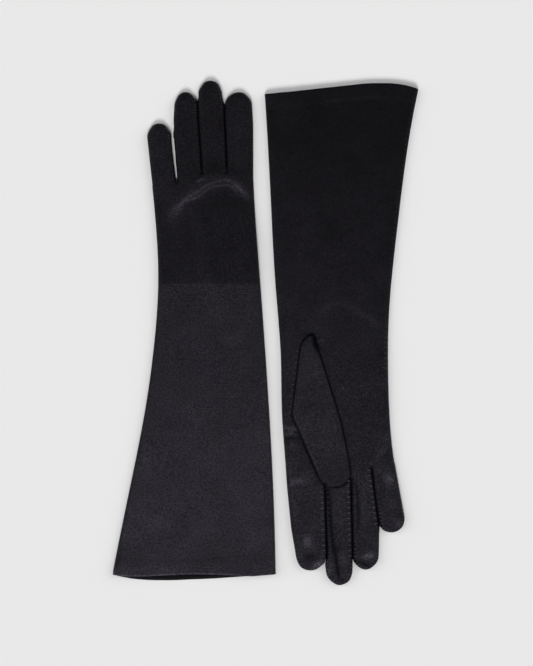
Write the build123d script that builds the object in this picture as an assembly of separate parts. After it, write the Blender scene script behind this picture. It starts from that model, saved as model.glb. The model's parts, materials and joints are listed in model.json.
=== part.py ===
from build123d import *

import os
from dataclasses import dataclass
from math import atan2, degrees, hypot

# A pair of elbow-length evening gloves in black satin, laid flat side by side on a table.
#
# Row frame, millimetres: +Z up off the table, +Y the way the left glove's fingers point, +X from
# the left glove to the right one.  The origin is under the middle of the pair, at table height.
#
# The left glove lies with its back up and its thumb folded under the palm.  The right glove lies
# palm up, fingers the other way, with its thumb folded over the palm.
#
# Each glove is drawn in its own frame first: the origin is in the middle of the wrist, +Y runs to
# the fingertips, +X to the index finger, and Z is height above the table.  Laid like this both
# gloves have nearly the same outline, so one set of functions cuts both of them.

# ---------------------------------------------------------------- driving dimensions
CLOTH = 0.7  # thickness of the satin
LOFT = 7.2  # height of a flattened glove over both layers
THUMB_LOFT = 2.6  # height of the flattened thumb
THUMB_GAP = 0.3  # between the folded thumb and the palm
SLOT = 1.0  # gap between two fingers that lie together
FOURCHETTE_PAST = 4.0  # how far a fourchette runs into the palm, past the end of the gap
FOURCHETTE_SHORT = 5.0  # how far short of the gap's open end it stops
HEM_DEPTH = 13.0  # width of the turned-in hem at the cuff

STITCH_PITCH = 4.6  # along a seam
STITCH_WIDTH = 0.9  # along the seam
STITCH_PROUD = 0.3  # height that the thread stands above the cloth
STITCH_INSET = 0.9  # from the edge of the cloth to the nearer end of a stitch
PALM_STITCH = 2.4  # length across the seam, on the palm side
BACK_STITCH = 1.2  # length across the seam, on the back
EDGE_STITCH = 1.5  # length over the side of a glove or a thumb
HEM_STITCH = 1.2  # blind stitch that holds the hem
HEM_END_GAP = 5.0  # from each side of the sleeve to the row of blind stitches

HAND_UP = THUMB_LOFT + THUMB_GAP  # lift of a hand that lies on its own thumb
SLEEVE_END = -85.0  # y where the underside starts to climb from the sleeve to the hand
HAND_START = -52.0  # y where it reaches the hand's height
REACH = 400.0  # longer than a glove, for cutting bodies
TALL = 40.0  # higher than a glove, for cutting bodies


@dataclass
class Station:
    """One circle on a finger's middle line: its place and the finger's half width there."""

    x: float
    y: float
    r: float


@dataclass
class Glove:
    """The dimensions that differ between the two gloves, in the glove's own frame."""

    name: str
    palm_up: bool
    place: tuple  # where the wrist's middle is in the row frame
    turn: float  # rotation in the row frame, degrees
    index_side: list  # folded edge, from the cuff to the finger roots
    little_side: list  # sewn edge, from the cuff to the finger roots
    cuff: list  # cuff edge between the two sides, from the little side
    fingers: dict  # stations of each finger from root to tip
    slots: dict  # crotch and far end of the gap between two fingers
    thumb_swing: float  # how far the folded thumb is turned in the plane, degrees
    lift: float  # height of the hand's underside above the table
    top: float  # height of the upper layer above the table


LEFT = Glove(
    name="left",
    palm_up=False,
    place=(-49.9, 43.1),
    turn=0,
    index_side=[(58.5, -253.5), (56, -170), (50.5, -75), (44.5, 8), (40, 70), (38.8, 95)],
    little_side=[
        (-84, -252.5),
        (-67.5, -171),
        (-54.5, -103),
        (-46.5, -40),
        (-44.3, 8),
        (-46.3, 50),
        (-49.7, 87),
    ],
    cuff=[(-38, -259.6), (20, -257)],
    fingers={
        "little": [Station(-38.9, 89.8, 10.8), Station(-43.6, 130.7, 10.6)],
        "ring": [Station(-17.2, 94.2, 11.2), Station(-20.1, 134, 11.4), Station(-20.3, 159.2, 9.8)],
        "middle": [Station(5.1, 98.1, 11.2), Station(2.7, 133, 11.3), Station(1.0, 168.6, 10.5)],
        "index": [Station(27.5, 95.9, 11.4), Station(26.6, 140, 12.2), Station(26.4, 157.5, 11.4)],
    },
    slots={
        "ring_little": ((-28.2, 90.6), (-32.7, 132)),
        "middle_ring": ((-5.9, 98.1), (-10.4, 160)),
        "index_middle": ((16.1, 98.1), (13.4, 158)),
    },
    thumb_swing=-3.0,
    lift=HAND_UP,
    top=HAND_UP + LOFT,
)
RIGHT = Glove(
    name="right",
    palm_up=True,
    place=(61.4, -42.2),
    turn=180,
    index_side=[(61.6, -251.7), (56.5, -162), (52, -81), (47.5, -20), (46.6, 28), (43.5, 72), (42.2, 92)],
    little_side=[
        (-72.6, -255.2),
        (-65.5, -218),
        (-54, -131),
        (-47.2, -61),
        (-46.6, 6),
        (-48.6, 46),
        (-52, 74),
    ],
    cuff=[(-44, -262), (0, -258.7)],
    fingers={
        "little": [Station(-42.1, 75.7, 10.4), Station(-49.7, 121.4, 11.1)],
        "ring": [Station(-22.9, 81, 9.4), Station(-26.8, 126.7, 11.4), Station(-26.8, 154, 11.2)],
        "middle": [Station(-2.3, 88, 11.4), Station(-3.5, 131, 11.4), Station(-3.6, 167.2, 11.3)],
        "index": [Station(25.8, 90.6, 16.4), Station(23.1, 127.6, 15.5), Station(21.1, 152.7, 13.2)],
    },
    slots={
        "ring_little": ((-31.9, 75.7), (-38.4, 127.2)),
        "middle_ring": ((-13.9, 85.4), (-15.6, 156)),
        "index_middle": ((9.2, 90.6), (7.2, 156)),
    },
    thumb_swing=0.0,
    lift=0.0,
    top=LOFT,
)

# The folded thumb, seen from above the palm.  It is sewn to the palm along its seam side and
# turns about that line when it is opened out.
THUMB_AXIS_FOOT = (30.8, -28.2)
THUMB_AXIS_HEAD = (38.2, 29.9)
THUMB_TOP = (19.5, -41.5)
THUMB_TOP_SHOULDER = (26.5, -37.5)
THUMB_OUTER_END = (15.0, 84.0)
THUMB_TIP = (0.5, 93.4)
THUMB_INNER_END = (-13.6, 83.0)
THUMB_FOLD_MIDDLE = (-6.4, 43.3)
THUMB_FOLD_UPPER = (3.4, 8.8)
# The opening through palm and thumb, a lens along the thumb seam.
THUMB_HOLE_CENTRE = (22.5, 2.0)
THUMB_HOLE_LENGTH = 52.0
THUMB_HOLE_WIDTH = 13.0


# ---------------------------------------------------------------- outlines in plan
def unit(start, end):
    """Length and direction from start to end."""
    dx, dy = end[0] - start[0], end[1] - start[1]
    length = hypot(dx, dy)
    return length, dx / length, dy / length


def tangent(a, b, side):
    """Ends of the outer tangent of two circles, on the left of a to b for +1, the right for -1."""
    length, ux, uy = unit((a.x, a.y), (b.x, b.y))
    lean = (a.r - b.r) / length
    out = side * (1 - lean**2) ** 0.5
    nx = lean * ux - out * uy
    ny = lean * uy + out * ux
    return (a.x + a.r * nx, a.y + a.r * ny), (b.x + b.r * nx, b.y + b.r * ny)


def taper(a, b):
    """The strip between two circles, between their outer tangents."""
    left, right = tangent(a, b, 1), tangent(a, b, -1)
    return make_face(Polyline(*left, *reversed(right), close=True))


def finger(stations, inset):
    """A finger lying flat: circles joined by their tangents, drawn in by inset."""
    drawn = [Station(s.x, s.y, s.r - inset) for s in stations]
    shape = Sketch()
    for s in drawn:
        shape += Pos(s.x, s.y) * Circle(s.r)
    for a, b in zip(drawn, drawn[1:]):
        shape += taper(a, b)
    return shape


def strip(start, end, before, after, half_width):
    """A straight strip along a line, running past its two ends."""
    length, ux, uy = unit(start, end)
    middle = (after - before + length) / 2
    centre = Pos(start[0] + ux * middle, start[1] + uy * middle)
    return centre * Rot(0, 0, degrees(atan2(uy, ux))) * Rectangle(before + length + after, 2 * half_width)


def crotch_point(glove, gap, inset):
    """Where the gap between two fingers ends, drawn back into the palm by inset."""
    crotch, end = glove.slots[gap]
    _, ux, uy = unit(crotch, end)
    return crotch[0] - inset * ux, crotch[1] - inset * uy


def hand_and_sleeve(glove, inset, mouth):
    """Palm and sleeve without fingers.  The cuff edge is pushed out by mouth to leave it open."""
    index = [(x - inset, y) for x, y in glove.index_side]
    little = [(x + inset, y) for x, y in glove.little_side]
    index_end, little_end = (index[0][0], index[0][1] - mouth), (little[0][0], little[0][1] - mouth)
    cuff = [(x, y - mouth) for x, y in glove.cuff]
    crotches = {"index": "index_middle", "middle": "middle_ring", "ring": "ring_little"}
    roots = []
    for name in ("index", "middle", "ring", "little"):
        root = glove.fingers[name][0]
        roots.append((root.x, root.y))
        if name in crotches:
            roots.append(crotch_point(glove, crotches[name], inset))
    edges = [Spline(*index), Polyline(index[-1], *roots, little[-1]), Spline(*reversed(little))]
    if mouth:
        edges += [Line(little[0], little_end), Line(index_end, index[0])]
    edges.append(Spline(little_end, *cuff, index_end))
    return make_face(edges)


def outline(glove, inset=0.0, mouth=0.0):
    """The glove's plan outline, drawn in by inset everywhere but at the cuff."""
    shape = Sketch() + hand_and_sleeve(glove, inset, mouth)
    for stations in glove.fingers.values():
        shape += finger(stations, inset)
    for crotch, end in glove.slots.values():
        shape -= strip(crotch, end, inset, inset, SLOT / 2 + inset)
    return shape


def gap_region(glove, gap):
    """The ground that the fourchette of a gap covers: round the slot, short of the fingertips."""
    crotch, end = glove.slots[gap]
    upper, lower = (glove.fingers[f] for f in gap.split("_"))
    half_width = min(upper[-1].r, lower[-1].r)
    return strip(crotch, end, FOURCHETTE_PAST, -FOURCHETTE_SHORT, half_width)


def thumb_outline(inset=0.0):
    """The folded thumb in plan."""
    seam = Line(THUMB_AXIS_FOOT, THUMB_AXIS_HEAD)
    outer = Line(THUMB_AXIS_HEAD, THUMB_OUTER_END)
    tip = ThreePointArc(THUMB_OUTER_END, THUMB_TIP, THUMB_INNER_END)
    fold = ThreePointArc(THUMB_INNER_END, THUMB_FOLD_MIDDLE, THUMB_FOLD_UPPER)
    neck = Line(THUMB_FOLD_UPPER, THUMB_TOP)
    top = ThreePointArc(THUMB_TOP, THUMB_TOP_SHOULDER, THUMB_AXIS_FOOT)
    shape = make_face([seam, outer, tip, fold, neck, top])
    return offset(shape, amount=-inset, kind=Kind.INTERSECTION) if inset else Sketch() + shape


def thumb_hole():
    """The opening that leads from the palm into the thumb."""
    _, ux, uy = unit(THUMB_AXIS_FOOT, THUMB_AXIS_HEAD)
    lean = degrees(atan2(uy, ux))
    return Pos(*THUMB_HOLE_CENTRE) * Rot(0, 0, lean) * Ellipse(THUMB_HOLE_LENGTH / 2, THUMB_HOLE_WIDTH / 2)


# ---------------------------------------------------------------- heights
def between(plan, glove, low, high):
    """The plan shape, from low above the glove's underside to high below its top."""
    lower = [(-REACH, low), (SLEEVE_END, low), (HAND_START, glove.lift + low), (REACH, glove.lift + low)]
    section = make_face(Polyline(*lower, (REACH, glove.top - high), (-REACH, glove.top - high), close=True))
    layer = extrude(Plane.YZ * section, amount=REACH, both=True)
    return extrude(plan, amount=TALL, dir=(0, 0, 1)) & layer


def slab(plan, floor, height):
    """The plan shape, from a height above the table."""
    return Pos(0, 0, floor) * extrude(plan, amount=height, dir=(0, 0, 1))


# ---------------------------------------------------------------- cloth parts
def swing(glove):
    """Turns the thumb in the plane about the foot of its seam."""
    x, y = THUMB_AXIS_FOOT
    return Pos(x, y) * Rot(0, 0, glove.thumb_swing) * Pos(-x, -y)


def trank(glove):
    """The one-piece trank: back and palm with the four fingers, folded at the index side."""
    shell = between(outline(glove), glove, 0, 0)
    shell -= between(outline(glove, CLOTH, mouth=20.0), glove, CLOTH, CLOTH)
    for gap in glove.slots:
        shell -= between(gap_region(glove, gap), glove, CLOTH, CLOTH)
    palm = glove.top - CLOTH if glove.palm_up else 0.0
    return shell - slab(swing(glove) * thumb_hole(), palm, glove.lift + CLOTH)


def fourchette(glove, gap):
    """The strip between two fingers: up one finger's side, round the crotch, down the other's."""
    walls = (outline(glove) - outline(glove, CLOTH)) & gap_region(glove, gap)
    return between(walls, glove, CLOTH, CLOTH)


def hem(glove):
    """The hem turned in at the cuff, a second layer inside the sleeve."""
    beyond = Pos(0, HEM_DEPTH) * hand_and_sleeve(glove, -2 * HEM_DEPTH, 0.0)
    ring = between(hand_and_sleeve(glove, CLOTH, 0.0) - beyond, glove, CLOTH, CLOTH)
    return ring - between(hand_and_sleeve(glove, 2 * CLOTH, 20.0), glove, 2 * CLOTH, 2 * CLOTH)


def thumb(glove):
    """The thumb, a flattened tube that is open to the palm along its seam."""
    floor = glove.top + THUMB_GAP if glove.palm_up else 0.0
    mouth = floor if glove.palm_up else floor + THUMB_LOFT - CLOTH
    tube = slab(thumb_outline(), floor, THUMB_LOFT)
    tube -= slab(thumb_outline(CLOTH), floor + CLOTH, THUMB_LOFT - 2 * CLOTH)
    return swing(glove) * (tube - slab(thumb_hole(), mouth, CLOTH))


# ---------------------------------------------------------------- stitches
def lying(curve, z, side, length, pitch=STITCH_PITCH):
    """A row of stitches on top of the cloth, across a seam on the left (+1) or right (-1) of a curve."""
    thread = Box(STITCH_WIDTH, length, STITCH_PROUD, align=(Align.CENTER, Align.CENTER, Align.MIN))
    count = int(curve.length / pitch)
    row = []
    for i in range(count):
        at, along = curve @ ((i + 0.5) / count), curve % ((i + 0.5) / count)
        turn = Rot(0, 0, degrees(atan2(along.Y, along.X)))
        row.append(Pos(at.X, at.Y, z) * turn * Pos(0, side * (STITCH_INSET + length / 2)) * thread)
    return row


def over_edge(curve, z, side):
    """A row of stitches that stand on the outer wall along a curve."""
    thread = Box(STITCH_WIDTH, STITCH_PROUD, EDGE_STITCH)
    count = int(curve.length / STITCH_PITCH)
    row = []
    for i in range(count):
        at, along = curve @ ((i + 0.5) / count), curve % ((i + 0.5) / count)
        turn = Rot(0, 0, degrees(atan2(along.Y, along.X)))
        row.append(Pos(at.X, at.Y, z) * turn * Pos(0, side * STITCH_PROUD / 2) * thread)
    return row


def gap_stitches(glove, gap):
    """Stitches that join a fourchette to the two fingers beside it, on the upper face."""
    crotch, end = glove.slots[gap]
    _, ux, uy = unit(crotch, end)
    length = PALM_STITCH if glove.palm_up else BACK_STITCH
    row = []
    for side in (1, -1):
        shift = Pos(-side * uy * SLOT / 2, side * ux * SLOT / 2)
        row += lying(shift * Line(crotch, end), glove.top, side, length)
    return row


def side_stitches(glove):
    """Stitches of the side seam, from the cuff to the tip of the little finger."""
    row = lying(Spline(*glove.little_side), glove.top, -1, EDGE_STITCH)
    root, *_, tip = glove.fingers["little"]
    return row + lying(Line(*tangent(root, tip, 1)), glove.top, -1, EDGE_STITCH)


def hem_stitches(glove):
    """Blind stitches that hold the hem, a sparse row round the upper face of the sleeve."""
    inward = HEM_DEPTH - 2 * HEM_STITCH
    left, right = glove.little_side[0], glove.index_side[0]
    start = (left[0] + HEM_END_GAP, left[1] + inward)
    middle = [(x, y + inward) for x, y in glove.cuff]
    end = (right[0] - HEM_END_GAP, right[1] + inward)
    return lying(Spline(start, *middle, end), glove.top, 1, HEM_STITCH, 2 * STITCH_PITCH)


def thumb_stitches(glove, start, end):
    """Stitches over one edge of the folded thumb."""
    floor = glove.top + THUMB_GAP if glove.palm_up else 0.0
    return [swing(glove) * stitch for stitch in over_edge(Line(start, end), floor + THUMB_LOFT / 2, -1)]


# ---------------------------------------------------------------- the pair
def glove_parts(glove):
    """Every piece of one glove, in the glove's own frame."""
    parts = {
        "trank": trank(glove),
        "thumb": thumb(glove),
        "cuff_hem": hem(glove),
        "side_seam_stitches": Compound(side_stitches(glove)),
        "hem_stitches": Compound(hem_stitches(glove)),
        "thumb_seam_stitches": Compound(thumb_stitches(glove, THUMB_AXIS_FOOT, THUMB_AXIS_HEAD)),
        "thumb_side_stitches": Compound(thumb_stitches(glove, THUMB_AXIS_HEAD, THUMB_OUTER_END)),
    }
    for gap in glove.slots:
        parts[f"{gap}_fourchette"] = fourchette(glove, gap)
        parts[f"{gap}_stitches"] = Compound(gap_stitches(glove, gap))
    return parts


os.makedirs("parts", exist_ok=True)
for glove in (LEFT, RIGHT):
    home = Pos(*glove.place) * Rot(0, 0, glove.turn)
    for part_name, shape in glove_parts(glove).items():
        export_step(home * shape, f"parts/{glove.name}_{part_name}.step")
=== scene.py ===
"""A pair of black satin evening gloves lying flat, seen from straight above."""

import json
import math

import bpy
import numpy as np
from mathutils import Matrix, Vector, geometry, kdtree, noise


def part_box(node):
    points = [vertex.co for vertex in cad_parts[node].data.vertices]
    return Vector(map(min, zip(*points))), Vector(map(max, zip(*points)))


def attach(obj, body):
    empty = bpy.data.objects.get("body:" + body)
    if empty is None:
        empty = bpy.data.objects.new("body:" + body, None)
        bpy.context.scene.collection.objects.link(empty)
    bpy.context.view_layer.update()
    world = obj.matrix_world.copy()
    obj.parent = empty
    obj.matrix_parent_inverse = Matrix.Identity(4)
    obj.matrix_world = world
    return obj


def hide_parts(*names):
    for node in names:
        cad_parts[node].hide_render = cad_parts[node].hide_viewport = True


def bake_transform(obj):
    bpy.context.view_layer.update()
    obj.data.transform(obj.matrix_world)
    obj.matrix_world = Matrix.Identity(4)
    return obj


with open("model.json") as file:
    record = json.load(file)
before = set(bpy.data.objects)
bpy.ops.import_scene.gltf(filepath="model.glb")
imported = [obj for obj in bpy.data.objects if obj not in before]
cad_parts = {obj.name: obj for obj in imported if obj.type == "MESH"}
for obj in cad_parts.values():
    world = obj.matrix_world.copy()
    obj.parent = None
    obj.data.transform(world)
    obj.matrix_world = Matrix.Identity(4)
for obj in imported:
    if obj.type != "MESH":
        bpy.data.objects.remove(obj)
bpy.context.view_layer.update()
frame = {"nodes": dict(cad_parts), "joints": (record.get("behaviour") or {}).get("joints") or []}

MM = 0.001
SKIN = 0.5  # cloth thickness, mm
REST = 0.05  # clearance under the cloth, mm
EDGE_Z = {"left": 1.3, "right": 1.1}  # height of a folded edge over the underside
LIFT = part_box("left_thumb")[1][2] / MM + 0.3  # a hand that lies on its own thumb
CREASE = 43  # Y of the crease pressed across the left wrist, mm
HEM = 13.0  # depth of the turned-in hem, mm
# Painted shade: the cloth inside the cuff and the turned-in hem is drawn darker, as it lies in shade.
INSIDE_PAINTED_SHADE = 0.22  # of the cloth seen through the cuff


# ---------------- plan geometry
def smooth(t):
    t = np.clip(t, 0, 1)
    return t * t * (3 - 2 * t)


def cad_points(node):
    return np.array([v.co for v in frame["nodes"][node].data.vertices]) / MM


def plan_loop(node):
    """The outer loop of a CAD solid's flat upper face, counter-clockwise, in mm."""
    mesh = frame["nodes"][node].data
    level = cad_points(node)[:, 2].max()
    after = {}
    for p in mesh.polygons:
        ring = [mesh.vertices[v].co / MM for v in p.vertices]
        if max(abs(c.z - level) for c in ring) < 0.02:
            keys = [(round(c.x, 2), round(c.y, 2)) for c in ring]
            keys = keys if p.normal.z > 0 else keys[::-1]
            for a, b in zip(keys, keys[1:] + keys[:1]):
                after[(a, b)] = True
    edges = {a: b for a, b in after if (b, a) not in after and a != b}
    arrived = set(edges.values())
    starts = [a for a in edges if a not in arrived]
    for end in arrived - set(edges):
        edges[end] = min(starts, key=lambda a: math.dist(a, end))
    loops = []
    while edges:
        start = next(iter(edges))
        loop, at = [start], edges.pop(start)
        while at != start and at in edges:
            loop.append(at)
            at = edges.pop(at)
        loops.append(np.array(loop))
    areas = [area(loop) for loop in loops]
    return loops[int(np.argmax(np.abs(areas)))]


def area(loop):
    x, y = loop[:, 0], loop[:, 1]
    return 0.5 * float((x * np.roll(y, -1) - np.roll(x, -1) * y).sum())


def resample(loop, step, corner=24.0):
    """Evenly spaced points along a loop, with its corners kept."""
    loop = loop[np.linalg.norm(loop - np.roll(loop, 1, 0), axis=1) > 0.08]
    d = np.roll(loop, -1, 0) - loop
    turn = np.arctan2(d[:, 1], d[:, 0])
    bend = np.abs((turn - np.roll(turn, 1) + np.pi) % (2 * np.pi) - np.pi)
    marks = np.flatnonzero(bend > math.radians(corner))
    marks = marks if len(marks) else np.array([0])
    out = []
    for a, b in zip(marks, np.roll(marks, -1)):
        b = b if b > a else b + len(loop)
        run = loop[np.arange(a, b + 1) % len(loop)]
        length = np.r_[0, np.cumsum(np.linalg.norm(np.diff(run, axis=0), axis=1))]
        n = max(1, int(round(length[-1] / step)))
        at = np.linspace(0, length[-1], n + 1)[:-1]
        out.append(np.c_[np.interp(at, length, run[:, 0]), np.interp(at, length, run[:, 1])])
    return np.vstack(out)


def segment_distance(points, a, b):
    """Distance from each point to the nearest of the short segments a-b, and which one that is."""
    tree = kdtree.KDTree(len(a))
    for i, (x, y) in enumerate((a + b) / 2):
        tree.insert((x, y, 0), i)
    tree.balance()
    count = min(4, len(a))
    near = np.array([[found[1] for found in tree.find_n((x, y, 0), count)] for x, y in points], int)
    near = near.reshape(-1, count)
    a, d = a[near], (b - a)[near]
    p = points[:, None, :]
    t = np.clip(((p - a) * d).sum(2) / np.maximum((d * d).sum(2), 1e-12), 0, 1)
    far = np.linalg.norm(p - (a + t[:, :, None] * d), axis=2)
    rows, k = np.arange(len(points)), far.argmin(1)
    return far[rows, k], near[rows, k]


def inside(points, loop):
    x, y = points[:, 0], points[:, 1]
    odd = np.zeros(len(points), bool)
    for (x0, y0), (x1, y1) in zip(loop, np.roll(loop, -1, 0)):
        if y0 != y1:
            odd ^= ((y0 > y) != (y1 > y)) & (x < (x1 - x0) * (y - y0) / (y1 - y0) + x0)
    return odd


def normals(loop):
    """Unit vectors that point out of a counter-clockwise loop."""
    d = np.roll(loop, -1, 0) - np.roll(loop, 1, 0)
    n = np.c_[d[:, 1], -d[:, 0]]
    return n / np.maximum(np.linalg.norm(n, axis=1)[:, None], 1e-9)


def turns(co, tris):
    """Twice the area of each triangle, less than 0 if it runs clockwise."""
    u, v = co[tris[:, 1]] - co[tris[:, 0]], co[tris[:, 2]] - co[tris[:, 0]]
    return u[:, 0] * v[:, 1] - u[:, 1] * v[:, 0]


def fill(loop, step, rings):
    """A triangle mesh that fills a loop: its points start with the loop's own."""
    low, high = loop.min(0), loop.max(0)
    rows = np.arange(low[1], high[1], step * 0.866)
    across = np.arange(low[0], high[0], step)
    grid = np.array([(x + step / 2 * (r % 2), y) for r, y in enumerate(rows) for x in across])
    grid = grid[inside(grid, loop)]
    a, b = loop, np.roll(loop, -1, 0)
    grid = grid[segment_distance(grid, a, b)[0] > rings[-1] + 0.45 * step]
    extra = []
    n = normals(loop)
    for ring in rings:
        p = loop - n * ring
        p = p[inside(p, loop)]
        extra.append(p[segment_distance(p, a, b)[0] > 0.8 * ring])
    points = np.vstack([loop, *extra, grid])
    count = len(loop)
    co, _, faces, origin, _, _ = geometry.delaunay_2d_cdt(
        [Vector(p) for p in points], [], [list(range(count))], 1, 1e-4, True
    )
    co = np.array([tuple(c) for c in co])
    index = np.full(len(co), -1)
    for i, src in enumerate(origin):
        loops = [s for s in src if s < count]
        if loops:
            index[i] = loops[0]
    order = np.r_[np.flatnonzero(index >= 0)[np.argsort(index[index >= 0], kind="stable")], np.flatnonzero(index < 0)]
    back = np.empty(len(co), int)
    back[order] = np.arange(len(co))
    co = co[order]
    tris = [[int(back[v]) for v in f] for f in faces]
    beside = {}
    for t, f in enumerate(tris):
        for v, w in zip(f, f[1:] + f[:1]):
            beside.setdefault((min(v, w), max(v, w)), []).append(t)
    fence = {(min(i, (i + 1) % count), max(i, (i + 1) % count)) for i in range(count)}
    turn = turns(co, np.array(tris))
    within = inside(co[np.array(tris)].mean(1), loop)
    first = int(np.argmax(np.abs(turn) * within))
    if turn[first] < 0:
        tris[first] = tris[first][::-1]
    kept, todo = {first}, [first]
    while todo:
        f = tris[todo.pop()]
        for v, w in zip(f, f[1:] + f[:1]):
            key = (min(v, w), max(v, w))
            for t in () if key in fence else beside[key]:
                if t not in kept:
                    g = tris[t]
                    if (v, w) in zip(g, g[1:] + g[:1]):
                        tris[t] = g[::-1]
                    kept.add(t)
                    todo.append(t)
    tris = np.array([tris[t] for t in sorted(kept)])
    co[:count] = loop
    filled = 0.5 * float(turns(co, tris).sum())
    if int((index >= 0).sum()) != count or abs(filled - area(loop)) > 1:
        raise SystemExit("a loop crosses itself or has points that merge")
    return co, tris


def across(line):
    """Distance from each point of a line to the nearest one further along it than 8 points."""
    far = np.linalg.norm(line[:, None] - line[None], axis=2)
    steps = np.abs(np.subtract.outer(np.arange(len(line)), np.arange(len(line))))
    far[(steps < 9) | (steps > len(line) - 9)] = 9
    return far.min(1)


def drawn_in(loop, mouth, amount):
    """A loop drawn in at its sides. Points 0..mouth, the cuff edge, keep their number."""
    moved = loop - normals(loop) * amount
    moved[: mouth + 1] = loop[: mouth + 1]
    moved[0, 0] += amount * np.sign(loop[mouth, 0] - loop[0, 0])
    moved[mouth, 0] -= amount * np.sign(loop[mouth, 0] - loop[0, 0])
    clear = segment_distance(moved, loop, np.roll(loop, -1, 0))[0] > 0.93 * amount
    clear[: mouth + 1] = True
    clear[mouth + 1 : mouth + 3] = clear[-2:] = False
    return moved[clear]


def curve(points, step=1.0):
    """A smooth line through a few points, as dense points."""
    p = np.array(points, float)
    p = np.vstack([2 * p[0] - p[1], p, 2 * p[-1] - p[-2]])
    out = []
    for a, b, c, d in zip(p, p[1:], p[2:], p[3:]):
        n = max(2, int(np.linalg.norm(c - b) / step))
        t = np.linspace(0, 1, n + 1)[:-1, None]
        out.append(0.5 * (2 * b + (c - a) * t + (2 * a - 5 * b + 4 * c - d) * t**2 + (3 * b - a - 3 * c + d) * t**3))
    return np.vstack([*out, p[-2:-1]])


def along(points, line):
    """Distance to a line, the share of its length at the nearest point, and which side (+1 left)."""
    d, k = segment_distance(points, line[:-1], line[1:])
    a, b = line[k], line[k + 1]
    side = np.sign((b[:, 0] - a[:, 0]) * (points[:, 1] - a[:, 1]) - (b[:, 1] - a[:, 1]) * (points[:, 0] - a[:, 0]))
    return d, k / max(len(line) - 2, 1), side


def hill(d, width):
    """1 at no distance, falling off over width."""
    return np.exp(-((d / width) ** 2))


def fading(t, ends):
    """1 along a line, falling to 0 over the share ends at both of its ends."""
    return smooth(t / ends) * smooth((1 - t) / ends)


def bump(points, line, width, ends=0.15):
    """1 on a line, falling off over width to each side and towards the line's ends."""
    d, t, _ = along(points, line)
    return hill(d, width) * fading(t, ends)


def spot(points, centre, rx, ry, angle=0.0):
    """1 at a centre, falling off as an ellipse."""
    c, s = math.cos(math.radians(angle)), math.sin(math.radians(angle))
    d = points - np.array(centre, float)
    u, v = (d[:, 0] * c + d[:, 1] * s) / rx, (-d[:, 0] * s + d[:, 1] * c) / ry
    return np.exp(-(u * u + v * v))


def rumple(points, scale, seed):
    """Smooth unevenness, about -1 to 1, that is the same on every run."""
    return np.array([noise.noise(Vector((x / scale, y / scale, seed))) for x, y in points])


def crown(s, width):
    t = np.clip(s / width, 0, 1)
    return np.sqrt(1 - (1 - t) ** 2)


# ---------------- the two gloves
class Glove:
    """One glove's outline as it lies, and the places on it, in mm."""

    def __init__(self, name, sign, fullness, cuff_line, pitch, tips):
        self.name, self.sign, self.pitch, self.tips = name, sign, pitch, tips
        loop = resample(plan_loop(name + "_trank"), 1.25)
        if area(loop) < 0:
            loop = loop[::-1]
        own = loop * sign
        a, b = int(np.argmin(own[:, 0] + own[:, 1])), int(np.argmax(own[:, 0] - own[:, 1]))
        self.loop = np.roll(loop, -a, 0)
        self.mouth = (b - a) % len(loop)  # points 0..mouth are the cuff edge
        self.fill_out(fullness, cuff_line)
        self.sides = (self.loop[self.mouth :], np.roll(self.loop, -1, 0)[self.mouth :])
        self.run = np.r_[0, np.cumsum(np.linalg.norm(self.sides[1] - self.sides[0], axis=1))]
        self.thumb = resample(plan_loop(name + "_thumb"), 1.0)
        if area(self.thumb) < 0:
            self.thumb = self.thumb[::-1]

    def fill_out(self, fullness, cuff_line):
        """The filled cloth stands a little off the CAD outline, up to 2 mm, and 4 mm at the cuff."""
        push = np.full(len(self.loop), fullness[0])
        for gap in GAPS:
            low, high = (np.array(c[:2]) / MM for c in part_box(f"{self.name}_{gap}_fourchette"))
            push[((self.loop > low - 2) & (self.loop < high + 2)).all(1)] = 0
        push = np.minimum(push + spots(self.loop, fullness[1]), np.maximum(0.5 * across(self.loop) - 0.15, 0))
        push = push[:, None] * normals(self.loop)
        corner = self.loop[self.mouth, 0] - self.loop[0, 0]
        line = slice(0, self.mouth + 1)
        xs, ys = zip(*cuff_line)
        push[line] = np.c_[np.zeros(self.mouth + 1), -self.sign * np.interp(self.loop[line, 0], xs, ys)]
        push[[0, self.mouth], 0] += np.array([-0.7, 0.7]) * np.sign(corner)
        self.loop = self.loop + push

    def edge(self, p):
        return segment_distance(p, *self.sides)[0]

    def seam(self, p):
        """The count of stitches along the edge, and 1 on the line they lie on at the fingertips."""
        s, k = segment_distance(p, *self.sides)
        a, b = self.sides[0][k], self.sides[1][k]
        t = np.clip(((p - a) * (b - a)).sum(1) / np.maximum(((b - a) ** 2).sum(1), 1e-12), 0, 1)
        at_tip = sum(smooth(1.6 - np.linalg.norm(p - np.array(tip), axis=1) / 10) for tip in self.tips)
        near = np.maximum(np.clip(at_tip, 0, 1), 0.15 * self.fingers(p))
        run = self.run[k] + t * (self.run[k + 1] - self.run[k])
        return run / self.pitch, near * hill(s - 1.6, 0.6)

    def thumb_edge(self, p):
        """Distance from the thumb's outline, and which of its segments is nearest."""
        return segment_distance(p, self.thumb, np.roll(self.thumb, -1, 0))

    def cuff(self, p):
        """Distance from the cuff edge."""
        line = self.loop[: self.mouth + 1]
        return segment_distance(p, line[:-1], line[1:])[0]

    def hand(self, p):
        """0 on the sleeve, 1 on the hand."""
        return smooth((self.sign * p[:, 1] + 20) / 60)

    def fingers(self, p):
        return smooth((self.sign * p[:, 1] - 118) / 22)


def spots(p, places):
    """The sum of soft spots: each is its centre, its two half widths, its turn and its size."""
    return sum(size * spot(p, centre, rx, ry, turn) for centre, rx, ry, turn, size in places)


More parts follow.
